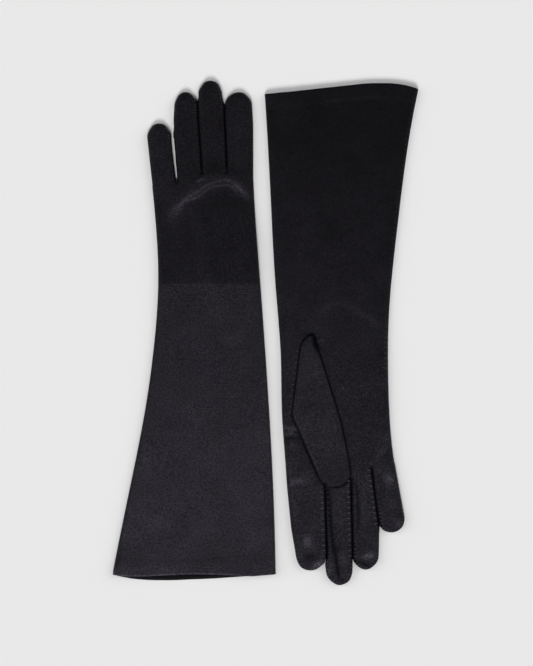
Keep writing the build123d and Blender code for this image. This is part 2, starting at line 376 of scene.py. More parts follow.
GAPS = ("index_middle", "middle_ring", "ring_little")
LEFT = Glove(
    "left",
    1,
    (
        0.3,
        (
            ((-110, 60), 12, 150, 8, 0.25),
            ((-62.8, 207.5), 4, 4, 0, -1.4),
            ((-78, 206.5), 4, 4, 0, -1.0),
            ((-57, 217.5), 4, 5, 0, -1.3),
            ((-39.9, 216), 4, 4, 0, -0.9),
            ((-15, 208), 4, 4, 0, -0.7),
            ((-102, 179), 4, 4, 0, -0.9),
            ((-84.7, 180.3), 4, 4, 0, -1.2),
            ((-36.5, 201), 2.5, 5, 0, 0.8),
            ((-60, 202), 1.5, 5, 0, 0.8),
            ((-81.5, 156), 5, 26, 4, -0.55),
        ),
    ),
    ((-134, 3.8), (-119, 3.4), (-92, 1.7), (-66, 0.8), (-40, 1.3), (-13, 1.9), (7, 2.0)),
    2.6,
    ((-23, 199), (-47.5, 211), (-70, 200), (-93, 175)),
)
RIGHT = Glove(
    "right",
    -1,
    (
        0.4,
        (
            ((33.7, -205.6), 6, 5, 0, 1.1),
            ((42, -209), 6, 4, 0, 0.7),
            ((52.6, -203), 1.8, 5, 0, 1.1),
            ((53.6, -195), 1.0, 4, 0, 0.6),
            ((65.2, -221), 5, 4, 0, 1.2),
            ((52.7, -165), 3, 30, 2.4, 0.4),
            ((76.1, -163), 3, 30, 1.3, 0.3),
            ((96.2, -141), 3, 22, 6.8, 0.55),
            ((72, -218), 4, 4, 0, 0.9),
            ((76.6, -196), 1.4, 4, 0, 0.9),
            ((88.5, -208), 5, 4, 0, 0.9),
            ((99, -182), 2, 12, 0, 0.3),
            ((104, -172), 5, 4, 0, 0.8),
            ((112, -174), 7, 4, 0, 0.7),
            ((119, -169), 4, 5, 0, 0.5),
        ),
    ),
    ((1, 1.0), (13, 2.3), (31, 2.5), (48, 1.6), (62, 0.7), (75, 0.1), (101, 0.3), (123, 1.5), (132, 1.8)),
    3.3,
    ((40, -198), (65, -210), (88, -198), (110, -163)),
)

KNUCKLE_RIDGE = curve([
    (-80.3, 106.3), (-74.2, 114), (-68.2, 119), (-62.1, 123), (-57.3, 125.4), (-50.1, 130.2), (-42.9, 132.6),
    (-34.4, 134.4), (-28.3, 131.6), (-21.1, 126.4), (-14.4, 120.2)
])
KNUCKLE_INNER = curve([
    (-70.6, 114.8), (-64, 117.6), (-58.5, 119.8), (-52.5, 124.9), (-46.5, 128.3), (-38, 129.7), (-33.2, 130),
    (-27.1, 127.4), (-22.3, 124)
])
WRIST_ARC = curve([(43, 12), (50, 20), (57, 26), (65, 27.4), (75, 25), (84.6, 18.2), (93, 14.4), (98, 8.4), (105, 7)])
CUFF_ARC = curve([(48, 200), (55, 203.3), (70, 205), (90.2, 207.2), (105.2, 205.9), (116, 200.5)])
MIDDLE_TURN = curve([
    (54.2, -134), (55.9, -154), (57.4, -170.7), (59.4, -184.8), (62, -198), (63.8, -209), (65.4, -216.5)
])
RING_TURN = curve([(78.4, -128), (80.6, -140), (81.8, -155), (81.4, -168), (79.2, -178)])


def thumb_lift(p):
    """How far the left hand's cloth is raised by the thumb under it."""
    d, _ = LEFT.thumb_edge(p)
    d[inside(p, LEFT.thumb)] = 0
    return LIFT * smooth(1 - d / 16)


def seam_pucker(glove, p, s):
    """Small scallops that the stitches pull into the cloth beside the finger seams."""
    wave = np.cos(2 * np.pi * p[:, 1] / 4.6)
    return wave * hill(s - 1.6, 1.6) * glove.fingers(p)


def top_left(p):
    s, cuff, fingers = LEFT.edge(p), LEFT.cuff(p), LEFT.fingers(p)
    lift = thumb_lift(p)
    body = 5.0 + 0.5 * LEFT.hand(p) + 0.6 * fingers
    z = lift + EDGE_Z["left"] + (body - EDGE_Z["left"]) * crown(s, 3.2)
    d, t, side = along(p, KNUCKLE_RIDGE)
    z += fading(t, 0.12) * (0.75 * hill(d, 1.2) + 0.9 * smooth(1 - d / 9) * (side < 0))
    z += 0.5 * bump(p, KNUCKLE_INNER, 0.9) + 0.4 * spot(p, (-56, 134.5), 4, 1.4, 20)
    z -= 0.22 * hill(p[:, 1] - CREASE, 0.7) * smooth(s / 6)
    z += 0.22 * smooth((14.2 - cuff) / 1.0) + 0.5 * smooth(1 - cuff / 30)
    z += (0.5 * rumple(p, 34, 1.7) + 0.16 * rumple(p, 11, 4.1)) * smooth(s / 8)
    z += 0.12 * seam_pucker(LEFT, p, s)
    return z


# Painted highlights on the left glove, and painted shade where a patch's size is less than 0.
LEFT_PAINTED_LIGHT = (
    ((-24, 165), 9, 45, 0, 0.10),
    ((-95, 150), 9, 35, 5, 0.14),
    ((-92, -88), 6, 5, 0, 0.22),
    ((-104, -112), 5, 9, -10, 0.28),
    ((-113, -152), 6, 10, -15, 0.32),
    ((-95, -166), 14, 3, -8, 0.28),
    ((-118, -178), 6, 8, 0, 0.28),
    ((-129, -200), 1.1, 9, -12, -1.1),
    ((-84, -172), 12, 7, 0, 0.38),
    ((-81, -120), 7, 9, 0, 0.3),
    ((-32, -80), 14, 11, 0, -0.22),
)


# how light the left glove is at each Y, from the cuff to the hand
LEFT_EVEN = (
    (-200, 0.94), (-165, 0.97), (-138, 1.0), (-112, 1.06), (-94, 1.03), (-68, 0.97),
    (-41, 0.95), (-15, 0.90), (2.6, 0.86), (42.2, 0.88), (43.5, 1.10),
)


def left_tone_and_painted_light(p):
    s, cuff = LEFT.edge(p), LEFT.cuff(p)
    # Painted light: lighter towards the cuff, on the side the light comes from; darker above the crease.
    t = 1.30 + 0.62 * (CREASE - p[:, 1]) / 260 - 0.76 * smooth((p[:, 1] - 42.6) / 1.2)
    t = np.maximum(t, 0.47) + 0.06 * smooth((15 - cuff) / 1.2)
    # Painted highlights, and painted shade where a patch's size is less than 0.
    t += spots(p, LEFT_PAINTED_LIGHT)
    # Painted highlight along the cuff's front edge, stronger to the left, and a darker line past the hem.
    painted_rim_light = 0.4 + 0.6 * smooth((-10 - p[:, 0]) / 40)
    t += 3.4 * smooth(1 - cuff / 1.7) * painted_rim_light - 0.26 * hill(cuff - 17.2, 1.5)
    # Painted shade along the sleeve's left side.
    t -= 1.1 * hill(s, 1.7) * smooth((42 - p[:, 1]) / 60) * (p[:, 0] < -70)
    # Painted highlight at the cuff's left corner.
    t += 1.2 * spot(p, (-132, -211.5), 1.6, 1.2)
    # Painted highlights on the knuckle ridges, on the fingers' side of them and at their ends, and painted shade below
    # them.
    t += 1.9 * bump(p, KNUCKLE_RIDGE, 1.0) + 1.45 * bump(p, KNUCKLE_INNER, 0.8)
    d, at, side = along(p, KNUCKLE_RIDGE)
    t += 0.5 * smooth(1 - d / 8) * (side > 0) * smooth(at / 0.2) * smooth((1 - at) / 0.2)
    t += 1.5 * spot(p, (-56, 134.6), 4, 1.2, 20)
    t += 0.5 * spot(p, (-80, 106), 9, 7, 40) + 0.6 * spot(p, (-19, 122), 8, 4, -35)
    t += 0.8 * spot(p, (-74.5, 112), 9, 3.2, 44) + 1.1 * spot(p, (-22.5, 126.5), 7.5, 2.8, -42)
    t += 0.7 * spot(p, (-64, 119.5), 7, 1.8, 30)
    t -= 0.12 * spot(p, (-34, 112), 16, 9, -10)
    # Painted shadow along the middle finger's right edge.
    t *= 1 - 0.92 * spot(p, (-37.7, 190), 1.2, 14, -4)
    t *= np.interp(p[:, 1], *zip(*LEFT_EVEN)) * (1 + 0.12 * smooth((-70 - p[:, 0]) / 15) * smooth((p[:, 1] - 55) / 20))
    return t * (1 + 0.12 * rumple(p, 22, 7.3))


RIGHT_FOLDS = (
    ((21.5, -83), 9, 1.7, -4, 0.7),
    ((20, -89), 8, 1.2, 8, 0.55),
    ((19, -92.8), 9, 1.1, 6, -0.55),
    ((22, -100), 5, 1.5, -20, 0.45),
    ((27, -128), 5, 4, 20, 0.35),
    ((30, -137), 7, 1.2, 8, 0.25),
    ((44, -5), 1.6, 7, 28, -0.8),
    ((48.5, -7), 1.4, 6, 30, 0.4),
    ((107, -128.5), 3, 5, 20, 0.6),
    ((99, -119), 2.5, 5, -30, 0.35),
    ((36.5, -183), 4, 6, 10, 0.6),
    ((38, -194), 7, 2.2, 15, -0.5),
    ((44.4, -202), 4, 3, 0, 0.35),
    ((93, -192), 4, 3, 20, 0.45),
    ((90, -198), 6, 1.2, 10, -0.45),
)
# Painted highlights on the right glove, and painted shade where a patch's size is less than 0.
RIGHT_PAINTED_LIGHT = (
    ((22, -83.5), 8, 1.8, -4, 1.1),
    ((21, -88), 6, 1.3, 8, 0.9),
    ((21, -92), 9, 1.5, 6, -0.5),
    ((24, -98.6), 4, 1.8, -10, 0.6),
    ((28.5, -130.5), 8, 3.3, 12, 0.75),
    ((36, -145.7), 13, 0.9, 0, 0.25),
    ((37, -183.2), 3.6, 5, 10, 1.7),
    ((36.5, -197.5), 7, 3.4, 10, -0.36),
    ((47, -203), 7, 2.4, 32, 1.8),
    ((32, -197.5), 3, 2, -40, 0.4),
    ((25, -150), 3, 40, 8, 0.16),
    ((40, -165), 8, 22, 0, 0.12),
    ((22, -32), 6, 24, 0, 0.15),
    ((107.9, -128.4), 3.6, 5, 20, 1.5),
    ((101, -106), 8, 2, 45, 0.3),
    ((106.5, -94), 1.2, 6, 0, 0.3),
    ((99, -119), 2.5, 5, -30, 0.3),
    ((111.8, -152), 4, 5, 10, 0.35),
    ((101, -146), 2, 10, -8, -0.2),
    ((117.3, -167), 4, 3.4, 20, 0.9),
    ((90.5, -196), 5, 3.4, 10, 1.5),
    ((85.8, -203), 6.5, 1.6, -20, -0.6),
    ((86, -150), 3, 16, 0, 0.2),
    ((68.5, -199), 3.4, 5.5, 0, 0.6),
    ((56.5, -209), 1.8, 6, -15, 0.8),
    ((63, -190), 4, 4, 0, -0.3),
    ((66, -160), 3, 20, 3, 0.16),
    ((67.5, -217.5), 3, 1.6, 0, -0.4),
    ((57.5, -150), 1.6, 24, 4, -0.25),
    ((67.8, -48.3), 1.2, 2.0, -30, 0.6),
    ((71.7, -76.6), 1.0, 1.6, 0, 0.5),
    ((44, -6), 2.5, 8, 28, -0.4),
    ((36, -1.6), 3.6, 1.5, 12, -0.3),
    ((46, -7.6), 1.8, 0.8, -10, 0.9),
    ((49.5, -6.6), 1.6, 0.8, 0, 0.7),
)


def at_thumb_tip(p):
    """1 round the end of the folded thumb, where the light gets under its edge."""
    return np.clip(spot(p, (54, -131), 9, 7) - 0.5 * spot(p, (63.4, -135.5), 3.5, 2.5), 0, 1)


def thumb_groove(p, covered=True):
    """1 beside the folded thumb's edge, where its shadow and the stitches sink the palm."""
    d, _ = RIGHT.thumb_edge(p)
    d[inside(p, RIGHT.thumb)] *= 0 if covered else 1
    return hill(d, 1.0) * (1 - 0.6 * at_thumb_tip(p))


def top_right(p):
    s, cuff, fingers = RIGHT.edge(p), RIGHT.cuff(p), RIGHT.fingers(p)
    body = 4.8 + 1.2 * RIGHT.hand(p) + 0.2 * fingers
    z = EDGE_Z["right"] + (body - EDGE_Z["right"]) * crown(s, 3.2)
    z += 0.5 * bump(p, WRIST_ARC, 3.0)
    z += 0.22 * smooth((13.2 - cuff) / 1.0) + 0.3 * smooth(1 - cuff / 30)
    z -= 0.9 * bump(p, MIDDLE_TURN, 0.8, 0.05) + 0.8 * bump(p, RING_TURN, 0.8, 0.1)
    z += 1.3 * spots(p, RIGHT_FOLDS) - 0.7 * thumb_groove(p)
    z += (0.4 * rumple(p, 34, 21.7) + 0.2 * rumple(p, 11, 14.1)) * smooth(s / 8)
    z += 0.3 * seam_pucker(RIGHT, p, s)
    return z


def right_tone_and_painted_light(p):
    s, cuff, fingers = RIGHT.edge(p), RIGHT.cuff(p), RIGHT.fingers(p)
    # Painted light: lighter towards the fingers, on the side the light comes from.
    t = np.interp(p[:, 1], (-200, -60, 40, 105, 170), (1.10, 0.80, 0.60, 0.43, 0.28))
    # Painted highlights along the wrist arc, over its real rise, and along the cuff arc.
    t += 0.05 * smooth((14 - cuff) / 1.2) + 0.27 * bump(p, WRIST_ARC, 3.4) + 0.12 * bump(p, CUFF_ARC, 1.6)
    # Painted shade along the turn lines of the middle and ring fingers, in their real grooves.
    t -= 1.3 * bump(p, MIDDLE_TURN, 1.5, 0.05) + 0.8 * bump(p, RING_TURN, 1.3, 0.1)
    # Painted shade along the finger edges and at the cuff edge.
    t -= 0.35 * fingers * hill(s, 0.9) + 0.2 * smooth(1 - cuff / 1.4)
    # Painted highlights, and painted shade where a patch's size is less than 0.
    t += 1.7 * spots(p, RIGHT_PAINTED_LIGHT)
    t = np.maximum(t, 0.05) * (1 + 0.2 * rumple(p, 20, 27.3) + 0.15 * rumple(p, 6, 61.3))
    up = smooth(p[:, 1] / 25)
    t *= 1 + (np.interp(p[:, 0], (5, 30, 50, 90, 120), (1.16, 1.12, 1.05, 0.98, 0.96)) - 1) * up
    t *= 1.06 + 0.13 * hill(p[:, 1] - 3, 16) - 0.06 * up
    t *= 1 + 0.25 * spot(p, (27, -112), 9, 22) + 0.24 * spot(p, (93, -128), 10, 18) + 0.12 * spot(p, (52, -160), 8, 40)
    # Painted shadow beside the folded thumb's edge, less round its tip.
    return t * (1 - 0.9 * thumb_groove(p, covered=False))


def under_left(p):
    s = LEFT.edge(p)
    return REST + thumb_lift(p) + (EDGE_Z["left"] - REST) * (1 - crown(s, 3.0))


def under_right(p):
    return REST + (EDGE_Z["right"] - REST) * (1 - crown(RIGHT.edge(p), 3.0))


# ---------------- mesh making
def in_scene(name, data):
    obj = bpy.data.objects.new(name, data)
    bpy.context.scene.collection.objects.link(obj)
    return obj


def new_object(name, points, faces, material, tone=1.0, **layers):
    """A smooth mesh from points in mm. Its materials read the tone, painted light and shade included, and the other
    layers.
    """
    mesh = bpy.data.meshes.new(name)
    mesh.from_pydata((np.asarray(points) * MM).tolist(), [], [list(map(int, f)) for f in faces])
    mesh.polygons.foreach_set("use_smooth", [True] * len(mesh.polygons))
    for key, values in {"tone": tone, **layers}.items():
        layer = mesh.attributes.new(key, "FLOAT", "POINT")
        layer.data.foreach_set("value", np.broadcast_to(values, len(points)).astype(np.float32))
    mesh.materials.append(material)
    mesh.validate()
    return in_scene(name, mesh)


def shell(glove, top, under, front):
    """A flat tube of cloth with both of its faces, open at the cuff.

    Gives its points, its faces, each point's place in the plan, and whether it is inside."""
    loop, mouth = glove.loop, glove.mouth
    count = len(loop)
    co, faces, plan, within = [], [], [], []

    def add(xy, z, tri, boundary, upper, inner=False):
        """boundary maps the loop's own points to points that exist already, or -1."""
        base, shared = sum(map(len, co)), len(boundary)
        keep = np.r_[boundary < 0, np.ones(len(xy) - shared, bool)]
        index = np.empty(len(xy), int)
        index[keep] = base + np.arange(int(keep.sum()))
        index[:shared][boundary >= 0] = boundary[boundary >= 0]
        shift = front(xy) if upper else np.zeros(len(xy))
        co.append(np.c_[xy[:, 0], xy[:, 1] + shift, z][keep])
        plan.append(xy[keep])
        within.append(np.full(int(keep.sum()), inner))
        t = index[tri]
        faces.append(t[:, ::-1] if upper == inner else t)
        return index[:shared]

    def at_mouth(count):
        flag = np.zeros(count, bool)
        flag[1:mouth] = True
        return flag

    xy, tri = fill(loop, 1.35, (0.3, 0.8, 1.5, 2.4))
    outer = add(xy, top(xy), tri, np.full(count, -1), True)
    xy, tri = fill(loop, 3.0, (0.6, 1.6))
    lower = add(xy, under(xy), tri, np.where(at_mouth(count), -1, outer), False)
    small = drawn_in(loop, mouth, 0.7)
    xy, tri = fill(small, 4.0, (1.2,))
    upper_z, lower_z = inner_skins(top(xy), under(xy), len(small), at_mouth(len(small)))
    inner_top = add(xy, upper_z, tri, np.full(len(small), -1), True, True)
    share = np.where(at_mouth(len(small)), -1, inner_top)
    inner_low = add(xy, lower_z, tri, share, False, True)
    rim = []
    for i in range(mouth):
        j = i + 1
        rim += [[outer[i], outer[j], inner_top[j]], [outer[i], inner_top[j], inner_top[i]]]
        rim += [[lower[i], inner_low[j], lower[j]], [lower[i], inner_low[i], inner_low[j]]]
    rim = [f[::-1] for f in rim if len(set(f)) == 3]
    faces.append(np.array(rim))
    return np.vstack(co), without_doubles(np.vstack(faces)), np.vstack(plan), np.concatenate(within)


def without_doubles(faces):
    """The triangles, less those that two layers share corner for corner and that enclose nothing."""
    _, which, uses = np.unique(np.sort(faces, axis=1), axis=0, return_inverse=True, return_counts=True)
    return faces[uses[which.ravel()] == 1]


def inner_skins(high, low, count, free):
    """Heights of a tube's inner faces, a cloth's thickness in, that meet at the folded edge."""
    half = np.minimum(SKIN, np.maximum((high - low) * 0.35, 0.02))
    upper, lower = high - half, low + half
    middle = 0.5 * (high + low)[:count]
    upper[:count] = np.where(free, upper[:count], middle)
    lower[:count] = np.where(free, lower[:count], middle)
    return upper, lower


def thumb_shell(glove, base, rise):
    """A flattened thumb: a closed pouch from the height base, crowned by rise(s), with an inner face."""
    loop = glove.thumb
    sides = loop, np.roll(loop, -1, 0)

    def distance(xy):
        return segment_distance(xy, *sides)[0]

    def high(xy):
        return base(xy) + 0.5 + rise(xy, distance(xy))

    def low(xy):
        return base(xy) + 0.5 * (1 - crown(distance(xy), 2.0))

    small = loop - normals(loop) * 0.6
    small = small[distance(small) > 0.55]
    co, faces, plan, start = [], [], [], 0
    for edge, step, rings, inner in ((loop, 1.2, (0.3, 0.8, 1.5, 2.4), False), (small, 3.0, (1.0,), True)):
        count = len(edge)
        xy, tri = fill(edge, step, rings)
        xy2, tri2 = fill(edge, 2.5, (0.8, 1.8))
        z, z2 = high(xy), low(xy2)
        if inner:
            free = np.zeros(count, bool)
            z = inner_skins(z, low(xy), count, free)[0]
            z2 = inner_skins(high(xy2), z2, count, free)[1]
        co += [np.c_[xy, z], np.c_[xy2, z2][count:]]
        plan += [xy, xy2[count:]]
        index = np.r_[np.arange(count), len(xy) + np.arange(len(xy2) - count)] + start
        pair = [tri + start, index[tri2][:, ::-1]]
        faces += [f[:, ::-1] for f in pair] if inner else pair
        start += len(xy) + len(xy2) - count
    plan = np.vstack(plan)
    return np.vstack(co), np.vstack(faces), plan, distance(plan)


BAR_POINTS = 30  # of each thread's mesh: five rings of six


def thread_bars(bars, radius=0.3, sunk=0.25):
    """Short threads: each bar is its two ends, and it dips into the cloth at both."""
    co, faces = [], []
    for p, q in bars:
        p, q = np.array(p, float), np.array(q, float)
        d = q - p
        length = np.linalg.norm(d)
        d /= max(length, 1e-9)
        side = np.cross(d, (0, 0, 1))
        side /= max(np.linalg.norm(side), 1e-9)
        up = np.cross(side, d)
        base = len(co)
        for k, t in enumerate((0.0, 0.18, 0.5, 0.82, 1.0)):
            centre = p + d * length * t + up * (-sunk if k in (0, 4) else 0.06)
            r = radius * (0.7 if k in (0, 4) else 1.0)
            for m in range(6):
                w = 2 * math.pi * m / 6
                co.append(centre + side * r * math.cos(w) + up * r * 0.8 * math.sin(w))
        for k in range(4):
            for m in range(6):
                i, j = base + k * 6 + m, base + k * 6 + (m + 1) % 6
                faces.append([i, j, j + 6, i + 6])
        faces.append([base + m for m in range(6)])
        faces.append([base + 24 + m for m in reversed(range(6))])
    return np.array(co), faces


def stitch_places(node):
    """The centre of each stitch in a CAD row, and the plan direction of its longer side."""
    co = cad_points(node)
    mesh = frame["nodes"][node].data
    parent = list(range(len(co)))

    def root(i):
        while parent[i] != i:
            parent[i] = parent[parent[i]]
            i = parent[i]
        return i

    seen = {}
    for i, c in enumerate(np.round(co, 3)):
        parent[root(i)] = root(seen.setdefault(tuple(c), i))
    for p in mesh.polygons:
        vs = list(p.vertices)
        for v in vs[1:]:
            parent[root(v)] = root(vs[0])
    groups = {}
    for i in range(len(co)):
        groups.setdefault(root(i), []).append(i)
    places = []
    for members in groups.values():
        c = co[members]
        flat = c[:, :2] - c[:, :2].mean(0)
        axes = np.linalg.svd(flat, full_matrices=False)[2]
        longer = int(np.ptp(flat @ axes[1]) > np.ptp(flat @ axes[0]))
        places.append((c.mean(0), axes[longer]))
    places.sort(key=lambda q: (round(float(q[0][1]), 2), float(q[0][0])))
    return places


# ---------------- materials
def node(tree, kind, **sockets):
    n = tree.nodes.new(kind)
    for key, value in sockets.items():
        n.inputs[key.replace("_", " ")].default_value = value
    return n


def new_material(name):
    """A material, its node tree and its shader's inputs."""
    material = bpy.data.materials.new(name)
    material.use_nodes = True
    tree = material.node_tree
    return material, tree, tree.nodes["Principled BSDF"].inputs


def maths(tree, operation, *values):
    """A Math node's result. Each value is a socket or a number."""
    n = tree.nodes.new("ShaderNodeMath")
    n.operation = operation
    for socket, value in zip(n.inputs, values):
        if isinstance(value, (int, float)):
            socket.default_value = value
        else:
            tree.links.new(value, socket)
    return n.outputs[0]


def layer(tree, name):
    """A mesh layer's value."""
    n = tree.nodes.new("ShaderNodeAttribute")
    n.attribute_name = name
    return n.outputs["Fac"]


def ramp(tree, factor, *stops):
    """A colour that goes from one stop to the next. Each stop is its place and its colour."""
    n = tree.nodes.new("ShaderNodeValToRGB")
    for element, (place, colour) in zip(n.color_ramp.elements, stops):
        element.position, element.color = place, (*colour, 1)
    tree.links.new(factor, n.inputs["Fac"])
    return n.outputs["Color"]


def scaled(tree, colour, scale):
    n = tree.nodes.new("ShaderNodeVectorMath")
    n.operation = "SCALE"
    tree.links.new(colour, n.inputs[0])
    tree.links.new(scale, n.inputs["Scale"])
    return n.outputs[0]


def relief(tree, height, strength, distance):
    n = node(tree, "ShaderNodeBump", Strength=strength, Distance=distance)
    tree.links.new(height, n.inputs["Height"])
    return n


def satin(name, low, high):
    """Fine black satin: warp and weft, a speckle of thread, and soft unevenness."""
    material, t, shader = new_material(name)
    link = t.links.new
    shader["Specular IOR Level"].default_value = 0.08
    shader["Specular Tint"].default_value = (0.90, 0.84, 1.0, 1)
    place = t.nodes.new("ShaderNodeTexCoord")
    speckle = node(t, "ShaderNodeTexNoise", Scale=760.0, Detail=3.0, Roughness=0.6)
    cloud = node(t, "ShaderNodeTexNoise", Scale=38.0, Detail=3.0, Roughness=0.55)
    warp = node(t, "ShaderNodeTexWave", Scale=560.0, Distortion=1.2, Detail=1.0)
    weft = node(t, "ShaderNodeTexWave", Scale=420.0, Distortion=1.6, Detail=1.0)
    weft.bands_direction = "Y"
    grit = node(t, "ShaderNodeTexNoise", Scale=520.0, Detail=2.0, Roughness=0.7)
    creases = node(t, "ShaderNodeTexNoise", Scale=95.0, Detail=4.0, Roughness=0.62)
    for n in (speckle, cloud, warp, weft, grit, creases):
        link(place.outputs["Object"], n.inputs["Vector"])
    mottling = node(t, "ShaderNodeMapRange", To_Min=0.85, To_Max=1.15)
    mottling.inputs["From Min"].default_value, mottling.inputs["From Max"].default_value = 0.3, 0.7
    link(cloud.outputs["Fac"], mottling.inputs["Value"])
    centred = maths(t, "SUBTRACT", grit.outputs["Fac"], 0.5)
    grain = maths(t, "MULTIPLY_ADD", centred, maths(t, "MULTIPLY", layer(t, "grain"), 2.3), 1.0)
    # The tone layer carries painted light and shade besides the cloth's own tone.
    cloth = maths(t, "MULTIPLY", maths(t, "MULTIPLY", mottling.outputs["Result"], layer(t, "tone")), grain)
    # Stitch dots drawn in colour along the seams: the stitches are real, their light on the thread and the shade in the
    # holes are painted.
    wave = maths(t, "COSINE", maths(t, "MULTIPLY", layer(t, "seam_run"), 2 * math.pi))
    stitch = maths(t, "MULTIPLY", wave, layer(t, "seam_at"))
    both = maths(t, "MAXIMUM", maths(t, "ADD", cloth, stitch), 0.03)
    colour = ramp(t, speckle.outputs["Fac"], (0.33, low), (0.68, high))
    link(scaled(t, colour, both), shader["Base Color"])
    weave = relief(t, maths(t, "ADD", warp.outputs["Fac"], weft.outputs["Fac"]), 0.35, 0.00012)
    soft = relief(t, creases.outputs["Fac"], 0.45, 0.0016)
    link(weave.outputs["Normal"], soft.inputs["Normal"])
    link(soft.outputs["Normal"], shader["Normal"])
    rough = node(t, "ShaderNodeMapRange", To_Min=0.44, To_Max=0.58)
    link(cloud.outputs["Fac"], rough.inputs["Value"])
    link(rough.outputs["Result"], shader["Roughness"])
    return material


def thread(name, colour):
    """Twisted thread, darker and lighter along its ply."""
    material, t, shader = new_material(name)
    shader["Roughness"].default_value = 0.7
    shader["Specular IOR Level"].default_value = 0.25
    place = t.nodes.new("ShaderNodeTexCoord")
    ply = node(t, "ShaderNodeTexWave", Scale=1400.0, Distortion=0.5)
    ply.bands_direction = "DIAGONAL"
    t.links.new(place.outputs["Object"], ply.inputs["Vector"])
    plies = ramp(t, ply.outputs["Fac"], (0.0, [c * 0.7 for c in colour]), (1.0, [c * 1.25 for c in colour]))
    t.links.new(scaled(t, plies, layer(t, "tone")), shader["Base Color"])
    t.links.new(relief(t, ply.outputs["Fac"], 0.4, 0.0001).outputs["Normal"], shader["Normal"])
    return material


SATIN = satin("black_satin", (0.0042, 0.0034, 0.0065), (0.0178, 0.0168, 0.0190))
# Painted shade: the fourchettes are the same satin, drawn darker as they lie in shade between the fingers.
SHADED_GAP_SATIN = satin("fourchette_satin", (0.0012, 0.0011, 0.0015), (0.0050, 0.0045, 0.0058))
THREAD = thread("black_thread", (0.010, 0.0093, 0.0115))


# ---------------- left glove and right glove
def cuff_front(glove, amount, start, end):
    """How far the upper layer's cuff edge stands back from the lower layer's, between two X places."""

    def shift(p):
        t = np.clip((p[:, 0] - start) / (end - start), 0, 1)
        return glove.sign * (0.15 + amount * np.sin(math.pi * t)) * smooth(1 - glove.cuff(p) / 22)

    return shift


def painted_thread_glint(glove, places):
    """Painted highlight: the right glove's stitches are drawn lighter on the index side of each gap, where they lie to
    the light.
    """
    centres = np.array([c[:2] for c, _ in places])
    middle = np.polyval(np.polyfit(centres[:, 1], centres[:, 0], 1), centres[:, 1])
    thread_painted_light = 5.0 if glove is RIGHT else 1.8
    thread_painted_light = thread_painted_light * (1 + 0.7 * rumple(centres, 3.7, 9.0))
    return np.repeat(np.where(centres[:, 0] < middle, thread_painted_light, 1.0), BAR_POINTS)


def lying_bars(places, top, length, lift=0.12):
    """Threads across a seam, on the cloth's upper face."""
    centres = np.array([c[:2] for c, _ in places])
    way = np.array([a for _, a in places])
    p, q = centres - way * length / 2, centres + way * length / 2
    return [((*a, za), (*b, zb)) for a, b, za, zb in zip(p, q, top(p) + lift, top(q) + lift)]


# Across a fourchette: depth in from the finger's edge, on the upper face or not, and its swell.
FOURCHETTE_SECTION = (
    (1.5, False, 0.0),
    (0.7, False, 0.3),
    (0.2, False, 0.8),
    (0.0, True, 1.0),
    (0.1, True, 1.0),
    (0.35, True, 1.0),
    (0.7, True, 0.6),
    (1.3, True, 0.0),
)
CLOSED_GAP, OPEN_GAP = 1.1, 0.05  # how far a fourchette swells into the gap
WEDGE = ("left", "ring_little")  # the one gap that stands open


def piece(obj, body, node_replaced):
    """What a piece stands for and rides on. A piece with no body here is left unattached."""
    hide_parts(node_replaced)
    if body:
        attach(obj, body)


def stitches(glove, row, bars, radius, tone=1.0, body=None):
    co, faces = thread_bars(bars, radius)
    obj = new_object(f"{glove.name}_{row}_thread", co, faces, THREAD, tone)
    piece(obj, body, f"{glove.name}_{row}_stitches")
    return obj


def hinge_line(glove):
    joint = next(j for j in frame["joints"] if j["name"] == glove.name + "_thumb_fold")
    foot = np.array(joint["pos_m"][:2]) / MM
    axis = np.array(joint["axis"][:2])
    centre = glove.thumb.mean(0)
    off = (centre - foot) - axis * ((centre - foot) @ axis)
    return foot, off / np.linalg.norm(off)


def bend_at_thumb(obj):
    """Bakes the thumb piece's place into its mesh."""
    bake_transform(obj)


def build(glove, top, under, tone, front):
    name, body = glove.name, glove.name + "_glove"
    co, faces, plan, within = shell(glove, top, under, front)
    run, at = glove.seam(plan)
    grain = glove.hand(plan)
    if glove is LEFT:  # the ridge is pulled smooth
        grain *= 1 - 0.8 * bump(plan, KNUCKLE_RIDGE, 3.5)
    look = {"grain": grain, "seam_run": run, "seam_at": at * (5.0 if glove is LEFT else 4.8)}
    # Painted shade: the inner faces are drawn darker.
    trank = new_object(name + "_trank_cloth", co, faces, SATIN, tone(plan) * np.where(within, INSIDE_PAINTED_SHADE, 1.0), **look)
    piece(trank, body, name + "_trank")
    for gap in GAPS:
        strip = fourchette(glove, gap, top, under)
        # The fourchettes wear the darker satin: painted shade.
        obj = new_object(f"{name}_{gap}_gusset", *strip[:2], SHADED_GAP_SATIN)
        piece(obj, body, f"{name}_{gap}_fourchette")
        places = stitch_places(f"{name}_{gap}_stitches")
        length, radius = (2.6, 0.5) if glove is RIGHT else (1.3, 0.25)
        stitches(glove, gap, lying_bars(places, top, length), radius, painted_thread_glint(glove, places), body)
    side = (2.6, 0.36) if glove is RIGHT else (1.9, 0.3)
    # Each row's threads carry painted light: drawn lighter or darker than the thread itself.
    for row, length, radius, thread_painted_light in (("side_seam", *side, 1.0), ("hem", 1.2, 0.2, 0.4)):
        places = stitch_places(f"{name}_{row}_stitches")
        # Painted highlight: these threads are drawn lighter beside the thumb, where they catch the light.
        if glove is RIGHT and row == "side_seam":  # they catch the light beside the thumb
            thread_painted_light = 0.55 + 3.2 * smooth(1 - np.abs(np.array([c[1] for c, _ in places]) + 18) / 40)
        row_painted_light = np.repeat(np.broadcast_to(thread_painted_light, len(places)), BAR_POINTS)
        stitches(glove, row, lying_bars(places, top, length), radius, row_painted_light, body)
    # Painted shade: the turned-in hem inside the cuff is drawn darker.
    co, faces = hem_band(glove, top, under, front)
    hem = new_object(name + "_hem_cloth", co, faces, SATIN, INSIDE_PAINTED_SHADE)
    piece(hem, body, name + "_cuff_hem")
    width, length = np.ptp(glove.loop, axis=0)


